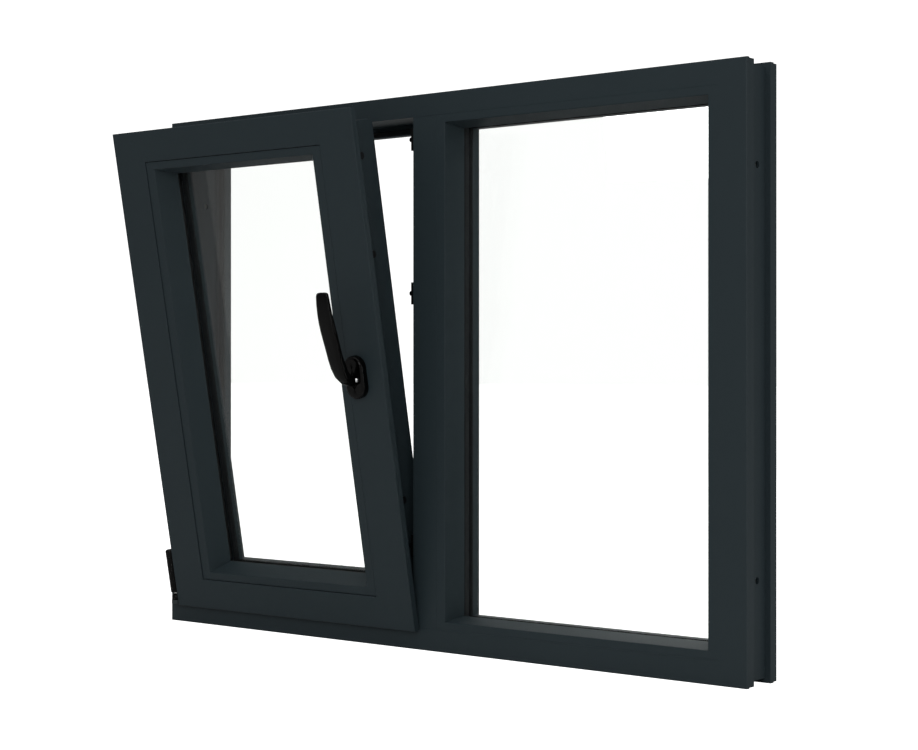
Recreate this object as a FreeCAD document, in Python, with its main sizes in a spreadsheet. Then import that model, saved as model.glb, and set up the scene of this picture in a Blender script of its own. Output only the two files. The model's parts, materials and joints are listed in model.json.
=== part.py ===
import FreeCAD, Part
import math
import os

import Sketcher
from FreeCAD import Matrix, Placement, Rotation, Vector

# A two-light window: a fixed light on the right and a tilt-and-turn sash on the left, tilted open.
# +X is to the right seen from inside the room, +Y points outdoors, +Z is up. The origin is the middle
# of the frame's underside. Every size is in millimetres. "rail" sizes run up from a head or a sill;
# the upright members (stiles) are wider by the factors stile_wide and leaf_wide.

SIZES = {
    "win_width": 1200, "win_height": 900, "win_depth": 86.6, "stile_wide": 1.3,
    "groove_front": 23, "groove_back": 67, "groove_deep": 7, "lip_step": 1, "edge_cut": 1.2,
    "face_rail": 36.3, "stop_rail": 53.7, "stop_front": 70, "wall": 3.2, "steel_wall": 1.6,
    "mull_left": 623.2, "mull_face": 49.2, "bead_face": 13.2, "bead_foot": 19.7,
    "pane": 4, "glass_front": 43, "glass_back": 67, "seal": 3, "glass_gap": 5,
    "leaf_wide": 1.38, "leaf_left": 33, "leaf_right": 609, "leaf_low": 31, "leaf_high": 23,
    "leaf_proud": 16, "leaf_depth": 83, "flange": 12, "flange_seal": 1.8, "leaf_side": 22, "leaf_seam": 53.3,
    "leg_rail": 76, "slot_front": 30, "slot_back": 46, "slot_floor": 25, "rod_front": 33,
    "rod_back": 43, "rod_floor": 29.5, "leaf_bead": 14.5, "leaf_bead_foot": 25.7, "seam_open": 0.8,
    "tilt_angle": 10.56, "axis_left": 24, "axis_front": 10, "axis_low": 44.5,
    "barrel_rad": 8.25, "barrel_low": 55.5, "barrel_tall": 77, "ball_rad": 8, "arm_long": 324,
    "arm_wide": 14, "arm_thick": 3, "arm_depth": 22, "arm_low": 860,
    "knob_in": 53, "knob_high": 446, "rose_wide": 34, "rose_tall": 70, "rose_thick": 10,
    "grip_wide": 26, "spindle": 7, "throw": 36, "cam_rad": 6, "fix_rad": 5.25, "fix_low": 150,
    "fix_pitch": 600, "keep_tall": 36, "keep_proud": 5, "nub_proud": 9,
}
CAM_HEIGHTS = (240, 642, 799)      # middle of each locking cam, from the frame's underside
KEEP_HEIGHTS = (150, 560, 810)     # lower end of each keep
ZERO = 1e-9

doc = FreeCAD.newDocument("window")
sheet = doc.addObject("Spreadsheet::Sheet", "Sizes")
for row, (alias, number) in enumerate(SIZES.items(), start=1):
    sheet.set(f"A{row}", alias)
    sheet.set(f"B{row}", str(number))
    sheet.setAlias(f"B{row}", alias)
doc.recompute()


class Dim:
    """A length that knows its value and the sheet formula it comes from."""

    def __init__(self, value, text=None):
        self.value = float(value)
        self.text = text if text is not None else repr(float(value))

    def join(self, sign, other):
        other = other if isinstance(other, Dim) else Dim(other)
        ways = {"+": self.value + other.value, "-": self.value - other.value, "*": self.value * other.value}
        value = ways[sign] if sign in ways else self.value / other.value
        return Dim(value, f"({self.text} {sign} {other.text})")

    def __add__(self, other):
        return self.join("+", other)

    def __sub__(self, other):
        return self.join("-", other)

    def __mul__(self, other):
        return self.join("*", other)

    def __truediv__(self, other):
        return self.join("/", other)

    def __neg__(self):
        return Dim(0) - self


def size(alias):
    return Dim(sheet.get(alias), f"Sizes.{alias}")


def dims(values):
    return [value if isinstance(value, Dim) else Dim(value) for value in values]


NODES = []


def keep_node(thing, label, place=None):
    """Give a finished sub-part its name, and set it in the leaf's tilted place if it rides there."""
    thing.Label = label
    if place is not None:
        doc.recompute()
        for axis in "xyz":
            thing.setExpression(f".Placement.Base.{axis}", None)
        thing.Placement = place.multiply(thing.Placement)
    NODES.append(thing)
    return thing


# ------------------------------------------------------------------ building blocks

def polygon(sketch, corners):
    """A closed outline whose every corner is bound to the sheet."""
    first = sketch.GeometryCount
    count = len(corners)
    corners = [dims(corner) for corner in corners]
    for index in range(count):
        (ax, ay), (bx, by) = corners[index], corners[(index + 1) % count]
        start, end = Vector(ax.value, ay.value, 0), Vector(bx.value, by.value, 0)
        sketch.addGeometry(Part.LineSegment(start, end), False)
    for index in range(count):
        line = first + index
        sketch.addConstraint(Sketcher.Constraint("Coincident", line, 2, first + (index + 1) % count, 1))
        for kind, axis, number in (("DistanceX", -2, corners[index][0]), ("DistanceY", -1, corners[index][1])):
            if abs(number.value) < ZERO:
                sketch.addConstraint(Sketcher.Constraint("PointOnObject", line, 1, axis))
                continue
            row = sketch.addConstraint(Sketcher.Constraint(kind, -1, 1, line, 1, number.value))
            sketch.setExpression(f"Constraints[{row}]", number.text)


def body_sketch(body, role, name):
    sketch = body.newObject("Sketcher::SketchObject", name)
    plane = [item for item in body.Origin.OriginFeatures if item.Role == role][0]
    sketch.AttachmentSupport = [(plane, "")]
    sketch.MapMode = "FlatFace"
    return sketch


def rectangle(x0, y0, x1, y1):
    return [(x0, y0), (x1, y0), (x1, y1), (x0, y1)]


def bar(name, outline, holes, length, mitre=None, reach=None):
    """A profiled bar along local Z. Local X runs from the outer edge inwards, local Y is depth.

    mitre is the length lost at each end for one millimetre of inward travel, over a travel of reach.
    """
    body = doc.addObject("PartDesign::Body", name)
    section = body_sketch(body, "XY_Plane", name + "_section")
    polygon(section, outline)
    for hole in holes:
        polygon(section, hole)
    pad = body.newObject("PartDesign::Pad", name + "_pad")
    pad.Profile = section
    pad.setExpression("Length", length.text)
    doc.recompute()
    if mitre is not None:
        ends = body_sketch(body, "XZ_Plane", name + "_ends")
        slant = reach * mitre
        polygon(ends, [(Dim(0), Dim(0)), (reach, Dim(0)), (reach, slant)])
        polygon(ends, [(Dim(0), length), (reach, length - slant), (reach, length)])
        trim = body.newObject("PartDesign::Pocket", name + "_mitres")
        trim.Profile = ends
        trim.Midplane = True
        trim.setExpression("Length", "4 * Sizes.win_depth")
        before = pad.Shape.Volume
        doc.recompute()
        if body.Shape.Volume > before - 1:
            raise RuntimeError(name + ": the mitres cut nothing")
    return body


def plate(name, outlines, thick):
    """A flat piece drawn in X and Z and as thick as given along +Y."""
    body = doc.addObject("PartDesign::Body", name)
    face = body_sketch(body, "XZ_Plane", name + "_face")
    for outline in outlines:
        polygon(face, outline)
    pad = body.newObject("PartDesign::Pad", name + "_pad")
    pad.Profile = face
    pad.Reversed = True
    pad.setExpression("Length", thick.text)
    return body


def bind_base(thing, corner):
    for axis, number in zip("xyz", corner):
        thing.setExpression(f".Placement.Base.{axis}", number.text)


def box(name, corner, lengths):
    """A block from its lowest corner and its three lengths, every one bound to the sheet."""
    solid = doc.addObject("Part::Box", name)
    for side, number in zip(("Length", "Width", "Height"), dims(lengths)):
        solid.setExpression(side, number.text)
    bind_base(solid, dims(corner))
    return solid


def rod(name, base, axis, radius, length):
    """A round bar from the middle of one end along an axis."""
    solid = doc.addObject("Part::Cylinder", name)
    solid.Placement = Placement(Vector(), Rotation(Vector(0, 0, 1), axis))
    solid.setExpression("Radius", dims([radius])[0].text)
    solid.setExpression("Height", dims([length])[0].text)
    bind_base(solid, dims(base))
    return solid


def ball(name, centre, radius):
    solid = doc.addObject("Part::Sphere", name)
    solid.setExpression("Radius", dims([radius])[0].text)
    bind_base(solid, dims(centre))
    return solid


def fuse(name, pieces):
    whole = doc.addObject("Part::MultiFuse", name)
    whole.Shapes = pieces
    return whole


def cut(name, base, tools):
    result = doc.addObject("Part::Cut", name)
    result.Base = base
    result.Tool = tools[0] if len(tools) == 1 else fuse(name + "_tools", tools)
    return result


def turned(columns, origin):
    """A placement whose local X, Y and Z axes are the given directions."""
    (a, b, c), (d, e, f), (g, h, i) = columns
    x0, y0, z0 = (number.value for number in origin)
    return Placement(Matrix(a, d, g, x0, b, e, h, y0, c, f, i, z0, 0, 0, 0, 1))


FROM_BELOW = ((0, 0, 1), (0, 1, 0), (-1, 0, 0))
FROM_ABOVE = ((0, 0, -1), (0, 1, 0), (1, 0, 0))
FROM_LEFT = ((1, 0, 0), (0, 1, 0), (0, 0, 1))
FROM_RIGHT = ((-1, 0, 0), (0, 1, 0), (0, 0, -1))


def surround(names, outline, holes, rect, front, wide, reach, tilt=None, cuts=None, ends=Dim(0)):
    """Four bars round a rectangle: bottom, top, left and right, mitred where reach is given."""
    left, low, right, high = rect
    sides = (
        ("bottom", FROM_BELOW, (right - ends * wide, front, low), right - left - ends * wide * 2, False),
        ("top", FROM_ABOVE, (left + ends * wide, front, high), right - left - ends * wide * 2, False),
        ("left", FROM_LEFT, (left, front, low + ends), high - low - ends * 2, True),
        ("right", FROM_RIGHT, (right, front, high - ends), high - low - ends * 2, True),
    )
    made = {}
    for (side, columns, origin, length, upright), name in zip(sides, names):
        scale = wide if upright else Dim(1)
        shape = [(x * scale, y) for x, y in outline]
        inner = [[(x * scale, y) for x, y in hole] for hole in holes]
        slope = None if reach is None else (Dim(1) / wide if upright else wide)
        whole = bar(name + "_bar", shape, inner, length, slope, None if reach is None else reach * scale)
        whole.Placement = turned(columns, origin)
        if cuts and side in cuts:
            whole = cut(name + "_cut", whole, cuts[side])
        made[side] = keep_node(whole, name, tilt)
    return made


def ring(name, rect, outer, inner, front, thick, wide, tilt=None, notch=None):
    """A flat rectangular ring, inset from a rectangle by outer and inner rail sizes."""
    left, low, right, high = rect
    outlines = [
        rectangle(left + inset * wide, low + inset, right - inset * wide, high - inset)
        for inset in (outer, inner)
    ]
    whole = plate(name + "_ring", outlines, thick)
    whole.setExpression(".Placement.Base.y", front.text)
    if notch:
        whole = cut(name + "_notched", whole, notch)
    return keep_node(whole, name, tilt)


def point(x, y):
    return (x if isinstance(x, Dim) else Dim(x), y if isinstance(y, Dim) else Dim(y))


# ------------------------------------------------------------------ shared places

HALF = size("win_width") / 2
FRONT = -(size("win_depth") / 2)
HEIGHT = size("win_height")
WIDE = size("stile_wide")
FACE = size("face_rail")
MULL_X = HALF - size("mull_left")
MULL_R = MULL_X + size("mull_face")
FIXED = (MULL_R - FACE * WIDE, Dim(0), HALF, HEIGHT)
VENT = (-HALF, Dim(0), MULL_X + FACE * WIDE, HEIGHT)

LEAF_L = size("leaf_left") - HALF
LEAF_R = HALF - size("leaf_right")
LEAF_B = size("leaf_low")
LEAF_T = HEIGHT - size("leaf_high")
LEAF = (LEAF_L, LEAF_B, LEAF_R, LEAF_T)
LEAF_F = FRONT - size("leaf_proud")
LEAF_WIDE = size("leaf_wide")
SIDE_X = LEAF_R - size("leaf_side") * LEAF_WIDE

AXIS_X = size("axis_left") - HALF
AXIS_Y = FRONT - size("axis_front")
AXIS_Z = size("axis_low")
PIVOT = Vector(AXIS_X.value, AXIS_Y.value, AXIS_Z.value)
TILT = Placement(Vector(), Rotation(Vector(1, 0, 0), size("tilt_angle").value), PIVOT)
UP, RIGHT, OUT = Vector(0, 0, 1), Vector(1, 0, 0), Vector(0, 1, 0)


# ------------------------------------------------------------------ outer frame

def frame_members():
    """Mitred multi-chamber frame bars with a perimeter groove, and the steel inside them."""
    depth, nick, edge = size("win_depth"), size("lip_step"), size("edge_cut")
    back, stop = size("stop_front"), size("stop_rail")
    outline = [
        point(edge, 0), point(FACE, 0), point(FACE, back), point(stop, back), point(stop, depth - edge),
        point(stop - edge, depth), point(nick, depth), point(nick, size("groove_back") + 9),
        point(0, size("groove_back") + 9), point(0, size("groove_back")),
        point(size("groove_deep"), size("groove_back")), point(size("groove_deep"), size("groove_front")),
        point(nick, size("groove_front")), point(nick, 8), point(0, 8), point(0, edge),
    ]
    skin = size("wall")
    chamber = rectangle(size("groove_deep") + skin, skin, FACE - skin, size("groove_back") - skin)
    rear = rectangle(nick + skin, back + skin, stop - skin, depth - skin)
    holes = [[point(x, y) for x, y in hole] for hole in (chamber, rear)]
    cuts = {"left": fixing_bores("left", -HALF), "right": fixing_bores("right", HALF - stop * WIDE)}
    names = ("frame_sill", "frame_head", "frame_left_jamb", "frame_right_jamb")
    rect = (-HALF, Dim(0), HALF, HEIGHT)
    surround(names, outline, holes, rect, FRONT, WIDE, stop + 4, cuts=cuts)
    frame_steel(rect)


def fixing_bores(side, start):
    """Two holes right through a jamb for the anchors that hold the window in its wall."""
    depth = FRONT + (size("groove_front") + size("groove_back")) / 2
    heights = (size("fix_low"), size("fix_low") + size("fix_pitch"))
    return [
        rod(f"{side}_bore_{number}", (start - 5, depth, height), RIGHT, size("fix_rad"), size("stop_rail") * 2)
        for number, height in enumerate(heights)
    ]


def frame_steel(rect):
    """Square-cut steel tubes that slide into the main chambers."""
    skin, steel = size("wall"), size("steel_wall")
    x0, x1 = size("groove_deep") + skin + 0.5, FACE - skin - 0.5
    y0, y1 = Dim(14), Dim(60)
    outline = [point(x, y) for x, y in rectangle(x0, y0, x1, y1)]
    hollow = [point(x, y) for x, y in rectangle(x0 + steel, y0 + steel, x1 - steel, y1 - steel)]
    cuts = {"left": fixing_bores("left_steel", -HALF), "right": fixing_bores("right_steel", HALF - 70)}
    names = ("sill_steel", "head_steel", "left_jamb_steel", "right_jamb_steel")
    surround(names, outline, [hollow], rect, FRONT, WIDE, None, cuts=cuts, ends=size("stop_rail"))


def mullion():
    """The upright between the lights, notched over the stops of the head and the sill."""
    stop = (size("stop_rail") - FACE) * WIDE
    depth, back, edge = size("win_depth"), size("stop_front"), size("edge_cut")
    web = stop + size("mull_face")
    far = web + stop
    outline = [
        point(stop, 0), point(web, 0), point(web, back), point(far, back), point(far, depth - edge),
        point(far - edge, depth), point(edge, depth), point(0, depth - edge), point(0, back), point(stop, back),
    ]
    skin = size("wall")
    chamber = [point(x, y) for x, y in rectangle(stop + skin, skin, web - skin, back - skin)]
    length = HEIGHT - FACE * 2
    post = bar("mullion_bar", outline, [chamber], length)
    post.Placement = turned(FROM_LEFT, (MULL_X - stop, FRONT, FACE))
    notch_size = (far + 2, depth - back + 1, size("stop_rail") - FACE)
    low = box("mullion_notch_low", (MULL_X - stop - 1, FRONT + back, FACE), notch_size)
    high = box("mullion_notch_high", (MULL_X - stop - 1, FRONT + back, HEIGHT - size("stop_rail")), notch_size)
    keep_node(cut("mullion_cut", post, [low, high]), "mullion")
    steel = size("steel_wall")
    x0, x1 = stop + skin + 0.5, web - skin - 0.5
    tube = rectangle(x0, Dim(10), x1, Dim(60))
    hollow = rectangle(x0 + steel, Dim(10) + steel, x1 - steel, Dim(60) - steel)
    inner = bar("mullion_steel_bar", [point(x, y) for x, y in tube], [[point(x, y) for x, y in hollow]], length - 100)
    inner.Placement = turned(FROM_LEFT, (MULL_X - stop, FRONT, FACE + 50))
    keep_node(inner, "mullion_steel")
    blocks = []
    for number, low_end in enumerate((FACE, HEIGHT - FACE - 45)):
        corner = (MULL_X + skin + 1, FRONT + 12, low_end)
        blocks.append(box(f"connector_{number}", corner, (size("mull_face") - skin * 2 - 2, 45, 45)))
    keep_node(fuse("connectors", blocks), "mullion_connectors")


# ------------------------------------------------------------------ glazing

def glazing(prefix, rect, front, rebate, leg, foot, wide, tilt=None):
    """Two panes, a spacer, two gaskets and the blocks they stand on, set in a rebate."""
    left, low, right, high = rect
    gap = size("glass_gap")
    edge = rebate + gap
    across = right - left - edge * wide * 2
    tall = high - low - edge * 2
    for name, depth in (("inner_pane", size("glass_front")), ("outer_pane", size("glass_back") - size("pane"))):
        corner = (left + edge * wide, front + depth, low + edge)
        pane = box(f"{prefix}_{name}", corner, (across, size("pane"), tall))
        keep_node(pane, f"{prefix}_{name}", tilt)
    start = front + size("glass_front") + size("pane")
    thick = size("glass_back") - size("glass_front") - size("pane") * 2
    ring(prefix + "_spacer", rect, edge, edge + 9, start, thick, wide, tilt)
    ring(prefix + "_outer_gasket", rect, leg - 9, leg - 0.5, front + size("glass_back"), size("seal"), wide, tilt)
    seal_front = front + size("glass_front") - size("seal")
    ring(prefix + "_inner_gasket", rect, foot - 8, foot - 0.4, seal_front, size("seal"), wide, tilt)
    blocks = []
    for number, place in enumerate((left + edge * wide + 40, right - edge * wide - 120)):
        corner = (place, front + size("glass_front"), low + rebate)
        blocks.append(box(f"{prefix}_block_{number}", corner, (80, 24, gap)))
    keep_node(fuse(prefix + "_blocks", blocks), prefix + "_glazing_blocks", tilt)


def fixed_light():
    """Glazing and clip-in beads of the light that doesn't open."""
    glazing("fixed", FIXED, FRONT, FACE, size("stop_rail"), FACE + size("bead_foot"), WIDE)
    back = size("glass_front") - size("seal")
    outline = [
        point(0, 0.2), point(size("bead_face") - 0.8, 0.2), point(size("bead_face"), 1),
        point(size("bead_foot"), back), point(0, back),
    ]
    left, low, right, high = FIXED
    rect = (left + FACE * WIDE, low + FACE, right - FACE * WIDE, high - FACE)
    names = ["fixed_bead_" + side for side in ("bottom", "top", "left", "right")]
    surround(names, outline, [], rect, FRONT, WIDE, size("bead_foot") + 2)


# ------------------------------------------------------------------ opening leaf

def leaf_members():
    """Mitred leaf bars with a room-side flange, a hardware slot and a glazing rebate."""
    edge, depth, side = size("edge_cut"), size("leaf_depth"), size("leaf_side")
    seam, leg = size("leaf_seam"), size("leg_rail")
    leg_front = size("glass_back") + size("seal")
    slot, floor, cave = size("slot_front"), size("slot_floor"), size("rod_floor")
    outline = [
        point(edge, 0), point(seam - 0.6, 0), point(seam, 0.6), point(seam, leg_front), point(leg, leg_front),
        point(leg, depth - edge), point(leg - edge, depth), point(side, depth), point(side, size("slot_back")),
        point(floor, size("slot_back")), point(floor, size("rod_back")), point(cave, size("rod_back")),
        point(cave, size("rod_front")), point(floor, size("rod_front")), point(floor, slot),
        point(side, slot), point(side, size("flange")), point(0, size("flange")), point(0, edge),
    ]
    skin = size("wall")
    main = rectangle(cave + skin, skin, seam - skin, leg_front - skin)
    rear = rectangle(side + skin, leg_front + skin, leg - skin, depth - skin)
    holes = [[point(x, y) for x, y in hole] for hole in (main, rear)]
    names = ("leaf_bottom_rail", "leaf_top_rail", "leaf_left_stile", "leaf_right_stile")
    cuts = {"right": gear_cutters("stile")}
    surround(names, outline, holes, LEAF, LEAF_F, LEAF_WIDE, leg + 4, tilt=TILT, cuts=cuts)
    leaf_steel()


def gear_cutters(name):
    """The room that the gearbox and the handle's spindle take out of the handle stile."""
    middle = LEAF_R - size("knob_in")
    pocket = box(name + "_pocket", (middle - 14, LEAF_F + 25.5, size("knob_high") - 56), (27, 26, 112))
    bore = rod(name + "_bore", (middle, LEAF_F - 1, size("knob_high")), OUT, 6, 40)
    return [pocket, bore]


def leaf_steel():
    """Steel tubes inside the leaf's main chambers, stopped short of the corners."""
    skin, steel = size("wall"), size("steel_wall")
    x0, x1 = size("rod_floor") + skin + 0.4, size("leaf_seam") - skin - 0.4
    outline = [point(x, y) for x, y in rectangle(x0, Dim(10), x1, Dim(62))]
    hollow = [point(x, y) for x, y in rectangle(x0 + steel, Dim(10) + steel, x1 - steel, Dim(62) - steel)]
    names = ("leaf_bottom_steel", "leaf_top_steel", "leaf_left_steel", "leaf_right_steel")
    cuts = {"right": gear_cutters("steel")}
    surround(names, outline, [hollow], LEAF, LEAF_F, LEAF_WIDE, None, TILT, cuts, size("leaf_seam") + 10)


def leaf_glazing():
    """Glazing, beads and seals of the leaf. The beads lie a little below its face."""
    seam, foot = size("leaf_seam"), size("leaf_bead_foot")
    glazing("leaf", LEAF, LEAF_F, seam, size("leg_rail"), seam + foot, LEAF_WIDE, TILT)
    back = size("glass_front") - size("seal")
    outline = [
        point(size("seam_open"), 1.5), point(size("leaf_bead") - 1.2, 1.5), point(size("leaf_bead"), 2.7),
        point(foot, back), point(0, back), point(0, 8), point(size("seam_open"), 7),
    ]
    left, low, right, high = LEAF
    rect = (left + seam * LEAF_WIDE, low + seam, right - seam * LEAF_WIDE, high - seam)
    names = ["leaf_bead_" + side for side in ("bottom", "top", "left", "right")]
    surround(names, outline, [], rect, LEAF_F, LEAF_WIDE, foot + 2, tilt=TILT)
    notch = [box("flange_notch", (left - 1, LEAF_F + size("flange") - 1, Dim(840)), (16, 6, 28))]
    flange_back = LEAF_F + size("flange")
    ring("flange_gasket", LEAF, Dim(1.5), Dim(6), flange_back, size("flange_seal"), LEAF_WIDE, TILT, notch)


def frame_seal():
    """The rubber ring on the frame's stop that the closed leaf meets."""
    ring("stop_gasket", VENT, Dim(44), Dim(52), FRONT + size("stop_front") - 2.7, Dim(2.7), WIDE)


# ------------------------------------------------------------------ hinge side

def bottom_hinge():
    """Corner bearing on the frame, ball between, and barrel with its cover on the leaf."""
    radius, grip = size("ball_rad"), size("barrel_rad")
    foot = box("bearing_foot", (AXIS_X - 16, FRONT - 2.7, AXIS_Z - 15), (23, 2.7, 21))
    cup = rod("bearing_cup", (AXIS_X, AXIS_Y, AXIS_Z - 12), UP, grip, 7)
    seat = ball("bearing_seat", (AXIS_X, AXIS_Y, AXIS_Z), radius + 0.3)
    socket = rod("bearing_socket", (AXIS_X, AXIS_Y, AXIS_Z - 10.6), UP, 3.3, 10)
    stand = fuse("bearing_stand", [foot, cup])
    keep_node(cut("bearing", stand, [seat, socket]), "corner_bearing")
    pip = rod("ball_pip", (AXIS_X, AXIS_Y, AXIS_Z - 10.2), UP, 3, 6)
    keep_node(fuse("ball_pin", [ball("pivot_sphere", (AXIS_X, AXIS_Y, AXIS_Z), radius), pip]), "pivot_ball")
    low, tall = size("barrel_low"), size("barrel_tall")
    core = rod("barrel_core", (AXIS_X, AXIS_Y, low), UP, grip - 2.2, tall - 3)
    lug = box("barrel_lug", (AXIS_X, AXIS_Y - 3.5, low + 6), (LEAF_L - AXIS_X, 8, tall - 14))
    keep_node(fuse("barrel", [core, lug]), "corner_hinge", TILT)
    shell = rod("cover_shell", (AXIS_X, AXIS_Y, low - 1), UP, grip, tall + 1)
    room = rod("cover_room", (AXIS_X, AXIS_Y, low - 2), UP, grip - 2, tall)
    slit = box("cover_slit", (AXIS_X, AXIS_Y - 3.7, low - 2), (12, 8.4, tall - 5.5))
    keep_node(cut("cover", shell, [room, slit]), "hinge_cover", TILT)


def top_hinge():
    """Stay bearing and pin on the frame, and the arm that lets the leaf tilt so far."""
    grip = size("barrel_rad")
    low, high = Dim(846), Dim(866.2)
    foot = box("stay_foot", (AXIS_X - 16, FRONT - 3, low), (14, 3, 26.2))
    lugs = []
    for number, place in enumerate((low, high)):
        lugs.append(rod(f"stay_lug_{number}", (AXIS_X, AXIS_Y, place), UP, grip, 6))
        lugs.append(box(f"stay_root_{number}", (AXIS_X - 14, AXIS_Y, place), (14, size("axis_front"), 6)))
    hole = rod("stay_hole", (AXIS_X, AXIS_Y, low - 1), UP, 3, 30)
    keep_node(cut("stay_stand", fuse("stay_body", [foot] + lugs), [hole]), "stay_bearing")
    keep_node(rod("pin_bar", (AXIS_X, AXIS_Y, low), UP, 3, 26.4), "stay_pin")
    arm_z, thick, depth = size("arm_low"), size("arm_thick"), FRONT + size("arm_depth")
    sleeve = rod("arm_sleeve", (AXIS_X, AXIS_Y, Dim(852.6)), UP, 6.8, 13)
    web = box("arm_web", (AXIS_X, AXIS_Y + 5, Dim(853)), (3, 4.6, 10))
    crank = box("arm_crank", (AXIS_X, FRONT - 2.6, Dim(856)), (27, 2.2, 7))
    wall = box("arm_wall", (AXIS_X + 24.3, FRONT - 2.6, Dim(856)), (2.7, size("arm_depth") + 9.6, 7))
    blade = box(
        "arm_blade", (AXIS_X + 24.3, depth - size("arm_wide") / 2, arm_z),
        (size("arm_long") - 16, size("arm_wide"), thick),
    )
    rivet = rod("arm_rivet", (AXIS_X + size("arm_long"), depth, arm_z - 4.5), UP, 3.5, 7.5)
    end = rod("arm_end", (AXIS_X + size("arm_long"), depth, arm_z), UP, size("arm_wide") / 2, thick)
    bore = rod("arm_bore", (AXIS_X, AXIS_Y, low), UP, 3.08, 30)
    whole = fuse("arm_whole", [sleeve, web, crank, wall, blade, rivet, end])
    arm = cut("arm", whole, [bore])
    swing = Placement(Vector(), Rotation(Vector(0, 0, 1), -ARM_RATIO * size("tilt_angle").value), PIVOT)
    keep_node(arm, "stay_arm", swing)
    groove = (LEAF_L + 180, LEAF_F + size("slot_front") + 0.2, LEAF_T - size("slot_floor"))
    rail = box("rail_bar", groove, (330, 15.6, 2.6))
    track = box("rail_track", (LEAF_L + 190, LEAF_F + 34, LEAF_T - size("slot_floor") - 1), (310, 8, 5))
    keep_node(cut("rail", rail, [track]), "stay_rail", TILT)


ARM_RATIO = 2.5     # degrees that the arm swings for each degree of tilt


# ------------------------------------------------------------------ locking side

def locking_gear():
    """Faceplate, gearbox, drive rod and cams in the handle stile, and the keeps they meet."""
    slot_y = LEAF_F + (size("slot_front") + size("slot_back")) / 2
    plate_x = LEAF_R - size("slot_floor") * LEAF_WIDE + 0.2
    front = box("face_bar", (plate_x, slot_y - 7.8, LEAF_B + 60), (2.8, 15.6, LEAF_T - LEAF_B - 120))
    travel = [
        box(f"face_slot_{n}", (plate_x - 1, slot_y - 3.9, Dim(high) - size("throw") - 4.5), (5, 7.8, 45))
        for n, high in enumerate(CAM_HEIGHTS)
    ]
    keep_node(cut("face", front, travel), "faceplate", TILT)
    rod_x = LEAF_R - size("rod_floor") * LEAF_WIDE + 0.4
    bar_solid = box("drive_bar", (rod_x, slot_y - 4.6, Dim(190)), (5.4, 9.2, 650))
    keep_node(bar_solid, "drive_rod", TILT)
    cams = []
    for number, high in enumerate(CAM_HEIGHTS):
        neck = rod(f"cam_neck_{number}", (rod_x + 5.4, slot_y, Dim(high)), RIGHT, 3.4, 13)
        head = rod(f"cam_head_{number}", (rod_x + 17, slot_y, Dim(high)), RIGHT, size("cam_rad"), 2.2)
        cams += [neck, head]
    keep_node(fuse("cams", cams), "locking_cams", TILT)
    middle, knob_z = LEAF_R - size("knob_in"), size("knob_high")
    case = box("gear_case", (middle - 13, LEAF_F + 26, knob_z - 55), (24.3, 25, 110))
    bore = rod("gear_bore", (middle, LEAF_F + 20, knob_z), OUT, 5.3, 40)
    keep_node(cut("gear", case, [bore]), "gearbox", TILT)


def keeps():
    """Three keeps on the mullion's rebate, each a block with a rounded nub, and their screws."""
    blocks, screws = [], []
    tall, proud = size("keep_tall"), size("keep_proud")
    for number, low in enumerate(KEEP_HEIGHTS):
        middle = Dim(low) + tall / 2
        slab = box(f"keep_slab_{number}", (MULL_X - proud, FRONT + 0.6, Dim(low)), (proud, 17, tall))
        nub = rod(f"keep_nub_{number}", (MULL_X - size("nub_proud") + 4, FRONT + 1, middle), OUT, 4, 15)
        holes = []
        for end, high in enumerate((Dim(low) + 7, Dim(low) + tall - 7)):
            place = (MULL_X - proud, FRONT + 9, high)
            holes.append(rod(f"keep_hole_{number}{end}", place, RIGHT, 2.2, proud))
            screws.append(rod(f"keep_screw_{number}{end}", place, RIGHT, 2.1, proud))
        blocks.append(cut(f"keep_{number}", fuse(f"keep_body_{number}", [slab, nub]), holes))
    keep_node(fuse("keep_set", blocks), "keeps")
    keep_node(fuse("keep_screw_set", screws), "keep_screws")


def handle():
    """Rosette, lever and square spindle, standing on the handle stile's face."""
    middle, high = LEAF_R - size("knob_in"), size("knob_high")
    thick, half_tall = size("rose_thick"), size("rose_tall") / 2
    half_wide = size("rose_wide") / 2
    block = box("rose_block", (middle - half_wide, LEAF_F - thick, high - half_tall + half_wide),
                (size("rose_wide"), thick, size("rose_tall") - size("rose_wide")))
    rounds = [
        rod(f"rose_end_{n}", (middle, LEAF_F - thick, place), OUT, half_wide, thick)
        for n, place in enumerate((high - half_tall + half_wide, high + half_tall - half_wide))
    ]
    bore = rod("rose_bore", (middle, LEAF_F - thick - 1, high), OUT, 9.3, 30)
    keep_node(cut("rose", fuse("rose_body", [block] + rounds), [bore]), "handle_rosette", TILT)
    neck = rod("lever_neck", (middle, LEAF_F - 34, high), OUT, 9, 32)
    side = doc.addObject("PartDesign::Body", "lever_blade")
    sketch = body_sketch(side, "YZ_Plane", "lever_side")
    polygon(sketch, [point(y, z) for y, z in LEVER_SIDE])
    pad = side.newObject("PartDesign::Pad", "lever_pad")
    pad.Profile = sketch
    pad.Midplane = True
    pad.setExpression("Length", "Sizes.grip_wide")
    side.Placement = turned(((1, 0, 0), (0, -1, 0), (0, 0, -1)), (middle, LEAF_F, high + 150))
    hole = box("lever_hole", (middle - 3.55, LEAF_F - 22, high - 3.55), (7.1, 30, 7.1))
    keep_node(cut("lever", fuse("lever_body", [neck, side]), [hole]), "handle_lever", TILT)
    half = size("spindle") / 2
    shaft = box("spindle_bar", (middle - half, LEAF_F - 21, high - half), (size("spindle"), 68, size("spindle")))
    keep_node(shaft, "handle_spindle", TILT)


# Side view of the lever: distance off the leaf's face, and distance down from its tip.
LEVER_SIDE = (
    (24, 141), (36, 138), (42, 120), (49, 80), (53, 0.5), (60, 0.5), (65, 3), (63, 60), (58, 110),
    (50, 145), (40, 159), (24, 159),
)


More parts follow.
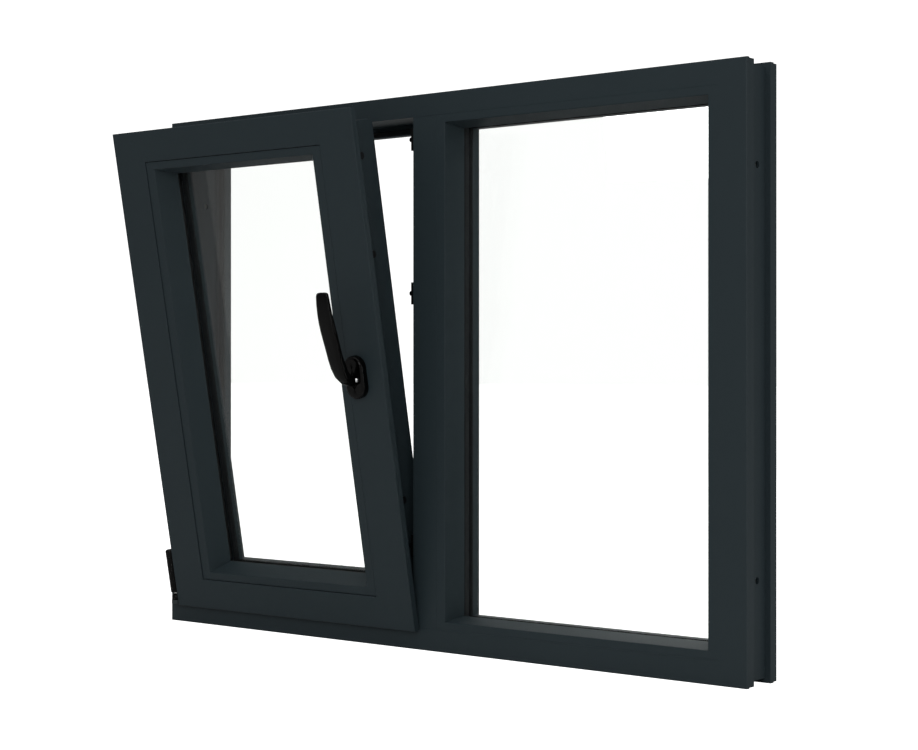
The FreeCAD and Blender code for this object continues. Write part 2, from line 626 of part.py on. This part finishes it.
def drain_caps():
    """Two caps over the drain slots on the outdoor face of the sill."""
    back = FRONT + size("win_depth")
    caps = [box(f"cap_{n}", (Dim(x), back, Dim(14)), (46, 6, 15)) for n, x in enumerate((-340, 250))]
    keep_node(fuse("caps", caps), "drain_caps")


# ------------------------------------------------------------------ build, check, write

for make in (
    frame_members, mullion, fixed_light, leaf_members, leaf_glazing, frame_seal, bottom_hinge, top_hinge,
    locking_gear, keeps, handle, drain_caps,
):
    make()
doc.recompute()

for thing in doc.Objects:
    if "Invalid" in thing.State or "Error" in thing.State:
        raise RuntimeError(f"{thing.Name} failed: {thing.State}")
os.makedirs("parts", exist_ok=True)
for node in NODES:
    shape = node.Shape
    if shape.isNull() or not shape.isValid() or not shape.Solids:
        raise RuntimeError(node.Label + " has no valid solid")
    shape.exportStep(f"parts/{node.Label}.step")
print(len(NODES), "nodes written")
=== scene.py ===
import json
import math

import bmesh
import bpy
from mathutils import Matrix, Vector

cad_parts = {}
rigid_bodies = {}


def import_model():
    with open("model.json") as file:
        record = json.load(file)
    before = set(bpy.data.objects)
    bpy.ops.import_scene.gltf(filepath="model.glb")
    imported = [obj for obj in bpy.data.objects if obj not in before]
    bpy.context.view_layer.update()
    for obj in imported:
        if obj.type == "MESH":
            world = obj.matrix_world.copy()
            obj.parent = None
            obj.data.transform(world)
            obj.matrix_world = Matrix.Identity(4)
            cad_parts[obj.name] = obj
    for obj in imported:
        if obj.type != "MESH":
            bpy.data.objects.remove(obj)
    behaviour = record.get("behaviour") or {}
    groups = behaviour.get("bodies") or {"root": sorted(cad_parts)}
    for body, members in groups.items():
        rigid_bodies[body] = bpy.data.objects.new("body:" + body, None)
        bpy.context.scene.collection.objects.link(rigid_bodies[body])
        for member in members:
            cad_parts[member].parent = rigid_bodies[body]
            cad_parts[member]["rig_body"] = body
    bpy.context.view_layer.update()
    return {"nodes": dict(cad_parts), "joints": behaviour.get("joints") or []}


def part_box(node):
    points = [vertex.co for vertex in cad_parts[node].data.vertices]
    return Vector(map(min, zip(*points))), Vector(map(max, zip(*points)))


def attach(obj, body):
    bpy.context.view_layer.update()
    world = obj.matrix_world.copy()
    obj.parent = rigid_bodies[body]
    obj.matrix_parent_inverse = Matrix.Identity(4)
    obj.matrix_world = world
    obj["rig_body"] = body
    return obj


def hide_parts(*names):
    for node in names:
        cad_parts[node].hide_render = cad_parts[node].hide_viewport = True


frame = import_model()

MM = 0.001
SLOT_OF = {name: node.data.materials[0].name.split(".")[0] for name, node in frame["nodes"].items()}
JOINT = {joint["name"]: joint for joint in frame["joints"]}

# The sash is drawn shut and upright, then leaned back by this into its ventilating place.
PIVOT = Vector(JOINT["tilt"]["pos_m"])
LEAN = math.radians(JOINT["tilt"]["range_deg"][1])
LEANING = Matrix.Translation(PIVOT) @ Matrix.Rotation(LEAN, 4, "X") @ Matrix.Translation(-PIVOT)
UPRIGHT = Matrix.Identity(4)


# ------------------------------------------------------------------ materials

def linear(code, alpha=1.0):
    """An sRGB hex colour as the linear values a shader wants."""
    parts = [int(code[i:i + 2], 16) / 255 for i in (0, 2, 4)]
    return [c / 12.92 if c <= 0.04045 else ((c + 0.055) / 1.055) ** 2.4 for c in parts] + [alpha]


def per_metre(size_mm):
    """The pattern scale that makes one repeat this long."""
    return 1000 / size_mm


def add(tree, kind, inputs=None, **settings):
    """One node with its settings, its plain values and its links."""
    node = tree.nodes.new("ShaderNode" + kind)
    for key, value in settings.items():
        setattr(node, key, value)
    for key, value in (inputs or {}).items():
        if isinstance(value, bpy.types.NodeSocket):
            tree.links.new(value, node.inputs[key])
        else:
            node.inputs[key].default_value = value
    return node


def new_material(name):
    """An empty material, its tree, and a point on the piece in metres to hang patterns on."""
    material = bpy.data.materials.new(name)
    material.use_nodes = True
    tree = material.node_tree
    tree.nodes.clear()
    return material, tree, add(tree, "TexCoord").outputs["Object"]


def close(tree, shader):
    add(tree, "OutputMaterial", {"Surface": shader})


def spread(tree, factor, low, high):
    """A 0 to 1 pattern stretched over a range of plain numbers."""
    return add(tree, "MapRange", {"Value": factor, "To Min": low, "To Max": high}).outputs["Result"]


def blend(tree, factor, first, second):
    """Two colours mixed by a pattern."""
    ramp = add(tree, "ValToRGB", {"Fac": factor})
    ramp.color_ramp.elements[0].color = first
    ramp.color_ramp.elements[1].color = second
    return ramp.outputs["Color"]


def noise(tree, point, size_mm, detail=3.0, roughness=0.5):
    settings = {"Vector": point, "Scale": per_metre(size_mm), "Detail": detail, "Roughness": roughness}
    return add(tree, "TexNoise", settings).outputs["Fac"]


def window_profile(name, dark, light, gloss_low, gloss_high):
    """Rigid PVC with a matt anthracite skin. The rolled skin has a fine pebble grain that breaks up its
    sheen, so it shows as a soft, nearly black blue-grey with no clear reflection. The real grain is about
    0.3 mm and is drawn at 1.4 mm, the finest that shows at this distance."""
    material, tree, point = new_material(name)
    tone = noise(tree, point, 180, 2.0)
    pebble = add(tree, "TexVoronoi", {"Vector": point, "Scale": per_metre(1.4), "Randomness": 1.0},
                 feature="SMOOTH_F1").outputs["Distance"]
    draw_lines = add(tree, "Mapping", {"Vector": point, "Scale": (1.0, 1.0, 0.06)}).outputs["Vector"]
    lines = noise(tree, draw_lines, 9, 2.0)
    relief = add(tree, "Math", {0: pebble, 1: spread(tree, lines, 0.0, 0.4)}, operation="ADD").outputs[0]
    bump = add(tree, "Bump", {"Strength": 0.35, "Distance": 0.05 * MM, "Height": relief}).outputs["Normal"]
    close(tree, add(tree, "BsdfPrincipled", {
        "Base Color": blend(tree, tone, linear(dark), linear(light)),
        "Roughness": spread(tree, noise(tree, point, 2.6, 4.0), gloss_low, gloss_high),
        "IOR": 1.5, "Specular IOR Level": 0.32, "Normal": bump,
    }).outputs["BSDF"])
    return material


def moulded_cap():
    """Injection-moulded ASA: the same grey as the profile but a shade glossier, with faint flow marks."""
    material, tree, point = new_material("moulded ASA cap")
    flow = add(tree, "TexWave", {"Vector": point, "Scale": per_metre(60), "Distortion": 6.0, "Detail": 2.0},
               wave_type="RINGS").outputs["Fac"]
    bump = add(tree, "Bump", {"Strength": 0.2, "Distance": 0.04 * MM,
                              "Height": noise(tree, point, 1.2)}).outputs["Normal"]
    close(tree, add(tree, "BsdfPrincipled", {
        "Base Color": blend(tree, flow, linear("2A3135"), linear("2E3539")),
        "Roughness": spread(tree, flow, 0.34, 0.42), "IOR": 1.5, "Specular IOR Level": 0.35, "Normal": bump,
    }).outputs["BSDF"])
    return material


def float_glass():
    """Clear float glass. It passes nearly all light, mirrors a little of the room, and its two faces run
    very slightly out of true in long rollers, so mirrored edges are not quite straight. Lamps shine
    through it."""
    material, tree, point = new_material("clear float glass")
    rollers = add(tree, "TexWave", {"Vector": point, "Scale": per_metre(1900), "Distortion": 1.5},
                  bands_direction="Z").outputs["Fac"]
    bump = add(tree, "Bump", {"Strength": 0.25, "Distance": 0.02 * MM, "Height": rollers}).outputs["Normal"]
    pane = add(tree, "BsdfPrincipled", {
        "Base Color": linear("FDFEFD"), "Roughness": 0.0, "IOR": 1.52, "Transmission Weight": 1.0,
        "Normal": bump,
    })
    lamp_way = add(tree, "BsdfTransparent", {"Color": linear("F5F7F6")})
    shadow = add(tree, "LightPath").outputs["Is Shadow Ray"]
    both = add(tree, "MixShader", {0: shadow, 1: pane.outputs["BSDF"], 2: lamp_way.outputs["BSDF"]})
    close(tree, both.outputs["Shader"])
    return material


def seal_rubber():
    """Extruded EPDM: dead matt black with a grey bloom in patches and a fine grain."""
    material, tree, point = new_material("extruded EPDM seal")
    bloom = noise(tree, point, 22, 4.0, 0.6)
    bump = add(tree, "Bump", {"Strength": 0.3, "Distance": 0.05 * MM,
                              "Height": noise(tree, point, 1.5)}).outputs["Normal"]
    close(tree, add(tree, "BsdfPrincipled", {
        "Base Color": blend(tree, bloom, linear("0E0F10"), linear("191B1C")),
        "Roughness": spread(tree, bloom, 0.62, 0.8), "IOR": 1.5, "Specular IOR Level": 0.3, "Normal": bump,
    }).outputs["BSDF"])
    return material


def metal(name, dark, light, gloss_low, gloss_high, mark_mm, stretch, relief_mm):
    """Bare metal whose tone and gloss change over marks of a real size, drawn out along their length."""
    material, tree, point = new_material(name)
    along = add(tree, "Mapping", {"Vector": point, "Scale": stretch}).outputs["Vector"]
    marks = noise(tree, along, mark_mm, 4.0, 0.6)
    bump = add(tree, "Bump", {"Strength": 0.4, "Distance": relief_mm * MM, "Height": marks}).outputs["Normal"]
    close(tree, add(tree, "BsdfPrincipled", {
        "Base Color": blend(tree, marks, linear(dark), linear(light)), "Metallic": 1.0,
        "Roughness": spread(tree, marks, gloss_low, gloss_high), "Normal": bump,
    }).outputs["BSDF"])
    return material


def galvanised():
    """Hot-dip galvanised strip: a patchwork of pale zinc crystals, 3 to 8 mm across, each its own tone."""
    material, tree, point = new_material("galvanised steel strip")
    crystal = add(tree, "TexVoronoi", {"Vector": point, "Scale": per_metre(5)})
    tone = add(tree, "SeparateColor", {"Color": crystal.outputs["Color"]}).outputs["Red"]
    close(tree, add(tree, "BsdfPrincipled", {
        "Base Color": blend(tree, tone, linear("A4A8A9"), linear("C9CCCB")), "Metallic": 1.0,
        "Roughness": spread(tree, tone, 0.32, 0.5),
        "Normal": add(tree, "Bump", {"Strength": 0.3, "Distance": 0.03 * MM,
                                     "Height": crystal.outputs["Distance"]}).outputs["Normal"],
    }).outputs["BSDF"])
    return material


def coated(name, dark, light, gloss_low, gloss_high, peel_mm, relief_mm, coat, level):
    """A coat over die-cast metal or moulded plastic. Its orange peel, a low ripple a few millimetres
    across, makes every reflection swim slightly instead of ending in a hard edge."""
    material, tree, point = new_material(name)
    peel = noise(tree, point, peel_mm, 2.0)
    bump = add(tree, "Bump", {"Strength": 0.5, "Distance": relief_mm * MM, "Height": peel}).outputs["Normal"]
    close(tree, add(tree, "BsdfPrincipled", {
        "Base Color": blend(tree, noise(tree, point, 30, 3.0), linear(dark), linear(light)),
        "Roughness": spread(tree, noise(tree, point, 5, 3.0), gloss_low, gloss_high), "IOR": 1.5,
        "Specular IOR Level": level, "Coat Weight": coat, "Coat Roughness": 0.06, "Normal": bump,
    }).outputs["BSDF"])
    return material


MATERIALS = {
    "anthracite_profile": window_profile("matt anthracite PVC profile", "2A363B", "2D393E", 0.5, 0.62),
    "anthracite_cap": moulded_cap(),
    "clear_glass": float_glass(),
    "black_rubber": seal_rubber(),
    # black anodised aluminium: a dark dull metal with long rolling lines
    "spacer_aluminium": metal(
        "black anodised aluminium spacer", "3C3F41", "4A4D4F", 0.4, 0.52, 2.4, (1.0, 1.0, 0.08), 0.02),
    "zinc_steel": galvanised(),
    # bright zinc plate: cool silver, a little cloudy
    "hardware_steel": metal("zinc-plated steel", "A9ADB0", "C3C6C7", 0.22, 0.36, 7, (1.0, 1.0, 0.3), 0.01),
    # powder coat: near black and satin, with a tight peel
    "black_hardware": coated(
        "black powder-coated die-cast", "08090A", "0D0E0F", 0.3, 0.42, 1.6, 0.05, 0.0, 0.18),
    # gloss lacquer: black, with small hard highlights along every edge
    "gloss_black_handle": coated(
        "gloss black lacquered die-cast", "030303", "050505", 0.1, 0.18, 6, 0.02, 0.1, 0.14),
    # moulded ABS: satin black, softer highlights than the lacquer
    "black_cover": coated(
        "satin black moulded ABS", "050506", "08090A", 0.2, 0.3, 2.2, 0.03, 0.0, 0.18),
    "packer_plastic": coated(
        "moulded polypropylene packer", "17406B", "1D4A78", 0.4, 0.5, 3, 0.05, 0.0, 0.4),
    # die-cast zinc: grey and grainy from the mould
    "connector_zinc": metal("die-cast zinc", "7E8182", "989B9B", 0.42, 0.6, 1.8, (1.0, 1.0, 1.0), 0.06),
}
# turned steel: the bright pin in the handle's neck and the bright ring above the hinge ball, steel parts put
# where there is only a highlight, so painted highlights
HIGHLIGHT_STEEL = metal("turned steel for painted highlights", "C6C7C8", "DADBDB", 0.2, 0.3, 1.2, (1.0, 0.1, 0.1), 0.01)
# slate lacquer: the bearing's thin coat, a tone lighter than the covers on it
SLATE = coated("slate lacquered die-cast", "2A3336", "343E41", 0.34, 0.45, 1.8, 0.04, 0.0, 0.45)

for name, node in frame["nodes"].items():
    node.data.materials.clear()
    node.data.materials.append(MATERIALS[SLOT_OF[name]])
# black zinc plate: the cams are a dull charcoal, unlike the bright pins
CHARCOAL = metal("black zinc-plated steel", "2B2D2E", "3A3C3D", 0.4, 0.52, 5, (1.0, 1.0, 1.0), 0.01)
frame["nodes"]["locking_cams"].data.materials[0] = CHARCOAL


# ------------------------------------------------------------------ making pieces

CREASE = math.radians(38)


def finished(bm, name, body, slot, material=None, place=UPRIGHT, stands_for=(), own=True):
    """Turns a worked mesh into a piece: placed, shaded, painted and riding on its body."""
    bmesh.ops.transform(bm, matrix=place, verts=bm.verts)
    if own:
        bmesh.ops.remove_doubles(bm, verts=bm.verts, dist=1e-6)
        bmesh.ops.recalc_face_normals(bm, faces=bm.faces)
    mesh = bpy.data.meshes.new(name)
    bm.to_mesh(mesh)
    bm.free()
    mesh.shade_smooth()
    mesh.set_sharp_from_angle(angle=CREASE)
    mesh.materials.append(material or MATERIALS[slot])
    piece = bpy.data.objects.new(name, mesh)
    bpy.context.scene.collection.objects.link(piece)
    even = piece.modifiers.new("even_shading", "WEIGHTED_NORMAL")
    even.keep_sharp = True
    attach(piece, body)
    if stands_for:
        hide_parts(*stands_for)
    return piece


def on_mitre(face):
    """True for the sloping cut where two profiles meet at a corner, which stays tight."""
    return abs(face.normal.x) > 0.25 and abs(face.normal.z) > 0.25


def eased(node, radius_mm, material=None, segments=2, corner=math.radians(40)):
    """A CAD part's twin with its sharp edges rounded over, as extrusion and moulding leave them."""
    body = frame["nodes"][node]["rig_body"]
    place = LEANING if body in ("leaf", "handle", "drive") else UPRIGHT
    bm = bmesh.new()
    bm.from_mesh(frame["nodes"][node].data)
    bmesh.ops.transform(bm, matrix=place.inverted(), verts=bm.verts)
    bmesh.ops.remove_doubles(bm, verts=bm.verts, dist=2e-6)
    bmesh.ops.dissolve_limit(bm, angle_limit=math.radians(0.4), verts=bm.verts, edges=bm.edges)
    bm.normal_update()
    edges = [e for e in bm.edges if len(e.link_faces) == 2 and e.calc_face_angle() > corner
             and not any(on_mitre(f) for f in e.link_faces)]
    bmesh.ops.bevel(bm, geom=edges, offset=radius_mm * MM, offset_type="OFFSET", segments=segments,
                    profile=0.5, affect="EDGES", clamp_overlap=True, material=-1)
    return finished(bm, node + "_eased", body, SLOT_OF[node], material, place, (node,), own=False)


def edges_of(verts):
    return list({e for v in verts for e in v.link_edges})


def ring(bm, points, radius, place):
    """One ring of edges set in place, ready to be bridged to the next."""
    made = bmesh.ops.create_circle(bm, segments=points, radius=radius, cap_ends=False)
    verts = made["verts"]
    bmesh.ops.transform(bm, matrix=place, verts=verts)
    return edges_of(verts)


def skinned(bm, rings, loop=False):
    """Bridges rings in order, and closes the two ends or joins the last to the first."""
    pairs = list(zip(rings, rings[1:])) + ([(rings[-1], rings[0])] if loop else [])
    for first, second in pairs:
        bmesh.ops.bridge_loops(bm, edges=first + second)
    if not loop:
        for end in (rings[0], rings[-1]):
            bmesh.ops.contextual_create(bm, geom=end)


# ------------------------------------------------------------------ frame and sash profiles

# radii on the long edges of the profiles, mm
FRAME_EDGE, LEAF_EDGE = 0.4, 0.7
BEAD_EDGE = {"fixed": 0.2, "leaf": 0.6}
for name in ("frame_sill", "frame_head", "frame_left_jamb", "frame_right_jamb", "mullion"):
    eased(name, FRAME_EDGE)
for name in ("leaf_bottom_rail", "leaf_top_rail", "leaf_left_stile", "leaf_right_stile"):
    eased(name, LEAF_EDGE)
for light, radius in BEAD_EDGE.items():
    for side in ("bottom", "top", "left", "right"):
        eased(f"{light}_bead_{side}", radius)
eased("drain_caps", 1.2, segments=3)
eased("keeps", 0.7)
eased("corner_bearing", 0.7, SLATE)
eased("stay_bearing", 0.7)


# ------------------------------------------------------------------ handle

KNOB = LEANING.inverted() @ Vector(JOINT["handle_turn"]["pos_m"])
FACE_TO_PIVOT = 6       # the sash's face stands this far in front of the pivot, mm
SASH_FACE = PIVOT.y - FACE_TO_PIVOT * MM
HANDLE_AXIS = Vector((KNOB.x, SASH_FACE, KNOB.z))

# Centre line and section of the lever, mm: off the face, above the spindle, way it heads (degrees up
# from straight out), width, thickness, and how square the section is (1 round, 0.5 nearly square).
LEVER = (
    (4, 0, 0, 17, 17, 1.0),
    (14, 0, 0, 17, 17, 1.0),
    (22, 2, 14, 18.5, 17.5, 0.9),
    (30, 7, 35, 21, 18.5, 0.78),
    (37.5, 16, 52, 23.5, 18.5, 0.68),
    (42.5, 29, 66, 25.5, 17.5, 0.6),
    (46.5, 43, 70, 26.5, 14.5, 0.58),
    (49.2, 58, 74, 27.5, 13, 0.56),
    (52.2, 75, 77, 28, 13, 0.55),
    (54.4, 87, 79, 28.4, 13, 0.54),
    (56.9, 103, 83, 28.4, 12, 0.54),
    (58.3, 116, 86, 28, 9.8, 0.54),
    (58.8, 131, 88, 26.6, 8.8, 0.55),
    (58.6, 143, 90, 25.2, 7.6, 0.56),
    (58.4, 147.4, 90, 23.4, 6.6, 0.6),
    (58.3, 149.2, 90, 19.5, 4.6, 0.66),
    (58.2, 149.9, 90, 12.5, 2.4, 0.75),
)
SECTION_POINTS = 32
ROSE_UP = 4.6           # the plate's middle above the spindle, mm
ROSE_WIDE, ROSE_TALL, ROSE_THICK, ROSE_BORE = 40, 70, 12, 9.3
# the neck pin below is bright steel set where there is only a highlight: a painted highlight
HIGHLIGHT_PIN_PLACE = (8.2, -13.8, 1.5)   # the pin's face from where the spindle meets the sash, mm
HIGHLIGHT_PIN_TURN = 18                   # how far the pin faces round to the front, degrees


def lever():
    bm = bmesh.new()
    rings = []
    for off, up, heading, width, thick, square in LEVER:
        made = bmesh.ops.create_circle(bm, segments=SECTION_POINTS, radius=1.0, cap_ends=False)
        for vert in made["verts"]:
            x, y = vert.co.x, vert.co.y
            vert.co.x = math.copysign(abs(x) ** square, x) * width / 2 * MM
            vert.co.y = math.copysign(abs(y) ** square, y) * thick / 2 * MM
        turn = Matrix.Rotation(math.radians(90 - heading), 4, "X")
        spot = Matrix.Translation(HANDLE_AXIS + Vector((0, -off, up)) * MM)
        bmesh.ops.transform(bm, matrix=spot @ turn, verts=made["verts"])
        rings.append(edges_of(made["verts"]))
    skinned(bm, rings)
    finished(bm, "handle_lever_cast", "handle", "gloss_black_handle", place=LEANING,
             stands_for=("handle_lever",))


def rosette():
    """Rose plate with a softly rounded rim, round its bore."""
    bm = bmesh.new()
    bore, wide, thick = ROSE_BORE, ROSE_WIDE / 2, ROSE_THICK
    tall = (ROSE_TALL - ROSE_WIDE) / 2
    # ring radius, its stretch along the plate, height off the face
    steps = ((bore, 0, 0), (bore, 0, thick - 0.6), (bore + 0.6, 0, thick), (wide - 5.4, tall, thick),
             (wide - 4.6, tall, thick),
             (wide - 2.9, tall, thick - 0.35), (wide - 1.4, tall, thick - 1.3),
             (wide - 0.4, tall, thick - 2.9), (wide, tall, thick - 5.0), (wide, tall, 0))
    points = 64
    rings = []
    for radius, stretch, off in steps:
        made = bmesh.ops.create_circle(bm, segments=points, radius=radius * MM, cap_ends=False)
        half_step = Matrix.Rotation(math.pi / points, 4, "Z")
        bmesh.ops.transform(bm, matrix=half_step, verts=made["verts"])
        for vert in made["verts"]:
            vert.co.y += math.copysign(stretch * MM, vert.co.y)
        stand = Matrix.Translation(HANDLE_AXIS + Vector((0, -off, ROSE_UP if stretch else 0)) * MM)
        bmesh.ops.transform(bm, matrix=stand @ Matrix.Rotation(math.radians(90), 4, "X"), verts=made["verts"])
        rings.append(edges_of(made["verts"]))
    skinned(bm, rings, loop=True)
    finished(bm, "handle_rose_plate", "leaf", "gloss_black_handle", place=LEANING,
             stands_for=("handle_rosette",))


def neck_highlight_pin():
    """Bright turned steel pin at the lever's neck, put where the neck's curve shows only a highlight: a
    painted highlight.
    """
    bm = bmesh.new()
    radius, proud = 3.6, 1.2
    steps = ((radius, -3.0), (radius, proud - 0.6), (radius - 0.2, proud - 0.3), (radius - 0.7, proud - 0.1),
             (radius - 1.8, proud))
    spot = Matrix.Translation(HANDLE_AXIS + Vector(HIGHLIGHT_PIN_PLACE) * MM)
    face = spot @ Matrix.Rotation(math.radians(90), 4, "Y") @ Matrix.Rotation(math.radians(HIGHLIGHT_PIN_TURN), 4, "X")
    rings = [ring(bm, 32, r * MM, face @ Matrix.Translation((0, 0, z * MM))) for r, z in steps]
    skinned(bm, rings)
    finished(bm, "handle_neck_pin", "handle", "hardware_steel", HIGHLIGHT_STEEL, LEANING)


lever()
rosette()
neck_highlight_pin()


# ------------------------------------------------------------------ hinge

def turned_part(name, body, slot, axis, outline, material=None, place=UPRIGHT, stands_for=()):
    """A round part from its outline of (radius, height) in millimetres, spun about an upright axis."""
    bm = bmesh.new()
    verts = [bm.verts.new(axis + Vector((r, 0, z)) * MM) for r, z in outline]
    edges = [bm.edges.new(pair) for pair in zip(verts, verts[1:])]
    bmesh.ops.spin(bm, geom=verts + edges, cent=axis, axis=(0, 0, 1), angle=math.tau, steps=48,
                   use_merge=True)
    return finished(bm, name, body, slot, material, place, stands_for)


COVER_LOW = 10.0        # cover's lower rim above the ball's middle, mm
COVER_TOP = 88.0
COVER_RAD = 8.25
BALL_RAD = 8
cover_outline = (
    (0, COVER_LOW + 1.2), (5.6, COVER_LOW + 1.2), (6.2, COVER_LOW), (COVER_RAD - 0.5, COVER_LOW),
    (COVER_RAD, COVER_LOW + 0.6), (COVER_RAD, COVER_TOP - 15.6), (COVER_RAD - 0.55, COVER_TOP - 15.1),
    (COVER_RAD - 0.55, COVER_TOP - 14.4), (COVER_RAD, COVER_TOP - 13.9), (COVER_RAD, COVER_TOP - 2.4),
    (COVER_RAD - 0.6, COVER_TOP - 1.1), (COVER_RAD - 1.9, COVER_TOP - 0.3), (COVER_RAD - 3.6, COVER_TOP),
    (0, COVER_TOP),
)
turned_part("hinge_cover_tube", "leaf", "black_cover", PIVOT, cover_outline, None, LEANING,
            ("hinge_cover",))

# bright steel ring between the ball and the cover, put where there is only a highlight: a painted highlight
highlight_collar_outline = ((0, 6.4), (4.2, 6.4), (4.4, 6.8), (4.4, 9.2), (4.0, 9.6), (0, 9.6))
turned_part("pivot_highlight_collar", "hinge_carrier", "hardware_steel", PIVOT, highlight_collar_outline, HIGHLIGHT_STEEL)

ball = bmesh.new()
bmesh.ops.create_uvsphere(ball, u_segments=40, v_segments=24, radius=BALL_RAD * MM,
                          matrix=Matrix.Translation(PIVOT))
bmesh.ops.create_cone(ball, cap_ends=True, segments=32, radius1=3 * MM, radius2=3 * MM, depth=6 * MM,
                            matrix=Matrix.Translation(PIVOT + Vector((0, 0, -7.2)) * MM))
finished(ball, "pivot_ball_turned", "hinge_carrier", "black_hardware", stands_for=("pivot_ball",))


# ------------------------------------------------------------------ keep screws

KEEP_LOWS = (150, 560, 810)     # lower ends of the keeps, mm
KEEP_TALL = 36
SCREW_INSET = 7


def keep_screws():
    """Countersunk heads with a shallow round drive recess, flush in the keeps."""
    low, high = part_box("keep_screws")
    bm = bmesh.new()
    middle = (low.y + high.y) / 2
    steps = ((2.1, -5.0), (2.1, -0.15), (1.95, 0.0), (1.25, 0.0), (1.1, -1.3))
    for start in KEEP_LOWS:
        for height in (start + SCREW_INSET, start + KEEP_TALL - SCREW_INSET):
            spot = Matrix.Translation((low.x, middle, height * MM)) @ Matrix.Rotation(
                math.radians(-90), 4, "Y")
            rings = [ring(bm, 24, r * MM, spot @ Matrix.Translation((0, 0, z * MM))) for r, z in steps]
            skinned(bm, rings)
    finished(bm, "keep_screw_heads", "frame", "hardware_steel", stands_for=("keep_screws",))


keep_screws()


# ------------------------------------------------------------------ room

SEEN_WHITE = 1.2        # how bright the surround looks to the eye
LIT_BY = 0.22           # how much it lights and mirrors


def looked_at(tree):
    """1 for light that comes to the eye straight or through glass alone, 0 once anything else turned it."""
    path = add(tree, "LightPath").outputs
    touched = add(tree, "Math", {0: path["Diffuse Depth"], 1: path["Glossy Depth"]},
                  operation="ADD").outputs[0]
    clean = add(tree, "Math", {0: touched, 1: 0.5}, operation="LESS_THAN").outputs[0]
    through = add(tree, "Math", {0: clean, 1: path["Is Transmission Ray"]}, operation="MULTIPLY").outputs[0]
    return add(tree, "Math", {0: path["Is Camera Ray"], 1: through}, operation="MAXIMUM").outputs[0]


scene = bpy.context.scene
scene.view_settings.view_transform = "Standard"
world = bpy.data.worlds.new("studio")
world.use_nodes = True
world.node_tree.nodes.clear()
strength = spread(world.node_tree, looked_at(world.node_tree), LIT_BY, SEEN_WHITE)
sky = add(world.node_tree, "Background", {"Color": (1, 1, 1, 1), "Strength": strength})
add(world.node_tree, "OutputWorld", {"Surface": sky.outputs["Background"]})
scene.world = world

floor_mesh = bmesh.new()
bmesh.ops.create_grid(floor_mesh, x_segments=1, y_segments=1, size=40)
bmesh.ops.translate(floor_mesh, vec=(0, 0, -0.3 * MM), verts=floor_mesh.verts)
floor_data = bpy.data.meshes.new("studio_floor")
floor_mesh.to_mesh(floor_data)
floor_mesh.free()
floor = bpy.data.objects.new("studio_floor", floor_data)
scene.collection.objects.link(floor)
material, tree, point = new_material("white studio floor")
close(tree, add(tree, "BsdfPrincipled", {
    "Base Color": blend(tree, noise(tree, point, 900), linear("E9E9E8"), linear("EEEEED")), "Roughness": 0.9,
    "Emission Color": (1, 1, 1, 1), "Specular IOR Level": 0.1,
    "Emission Strength": spread(tree, looked_at(tree), 0.0, SEEN_WHITE),
}).outputs["BSDF"])
floor_data.materials.append(material)


def softbox(name, wide, tall, place, aim, watts):
    lamp = bpy.data.lights.new(name, "AREA")
    lamp.shape = "RECTANGLE"
    lamp.size, lamp.size_y, lamp.energy = wide, tall, watts
    holder = bpy.data.objects.new(name, lamp)
    scene.collection.objects.link(holder)
    holder.location = place
    holder.rotation_euler = (Vector(aim) - Vector(place)).to_track_quat("-Z", "Y").to_euler()
    holder.visible_camera = False


MIDDLE = (0, 0, 0.45)
softbox("overhead_softbox", 3.0, 3.0, (0.2, -0.8, 3.4), MIDDLE, 24)
softbox("front_softbox", 2.4, 2.0, (2.6, -4.6, 2.2), MIDDLE, 55)
softbox("side_strip", 0.12, 1.3, (3.0, 0.3, 0.7), MIDDLE, 7)
softbox("rear_softbox", 2.4, 2.0, (-1.5, 4.5, 2.2), MIDDLE, 30)

CAMERA_PLACE = (2.013, -2.4213, 0.4566)
CAMERA_AIM = (-0.63215, 0.77485, 0)
LENS_MM, LENS_DROP = 75.55, -0.00757081

lens = bpy.data.cameras.new("view_camera")
lens.sensor_width, lens.lens = 36, LENS_MM
lens.shift_y = LENS_DROP
lens.clip_start, lens.clip_end = 0.05, 100
camera = bpy.data.objects.new("view_camera", lens)
scene.collection.objects.link(camera)
camera.location = CAMERA_PLACE
camera.rotation_euler = Vector(CAMERA_AIM).to_track_quat("-Z", "Y").to_euler()
scene.camera = camera
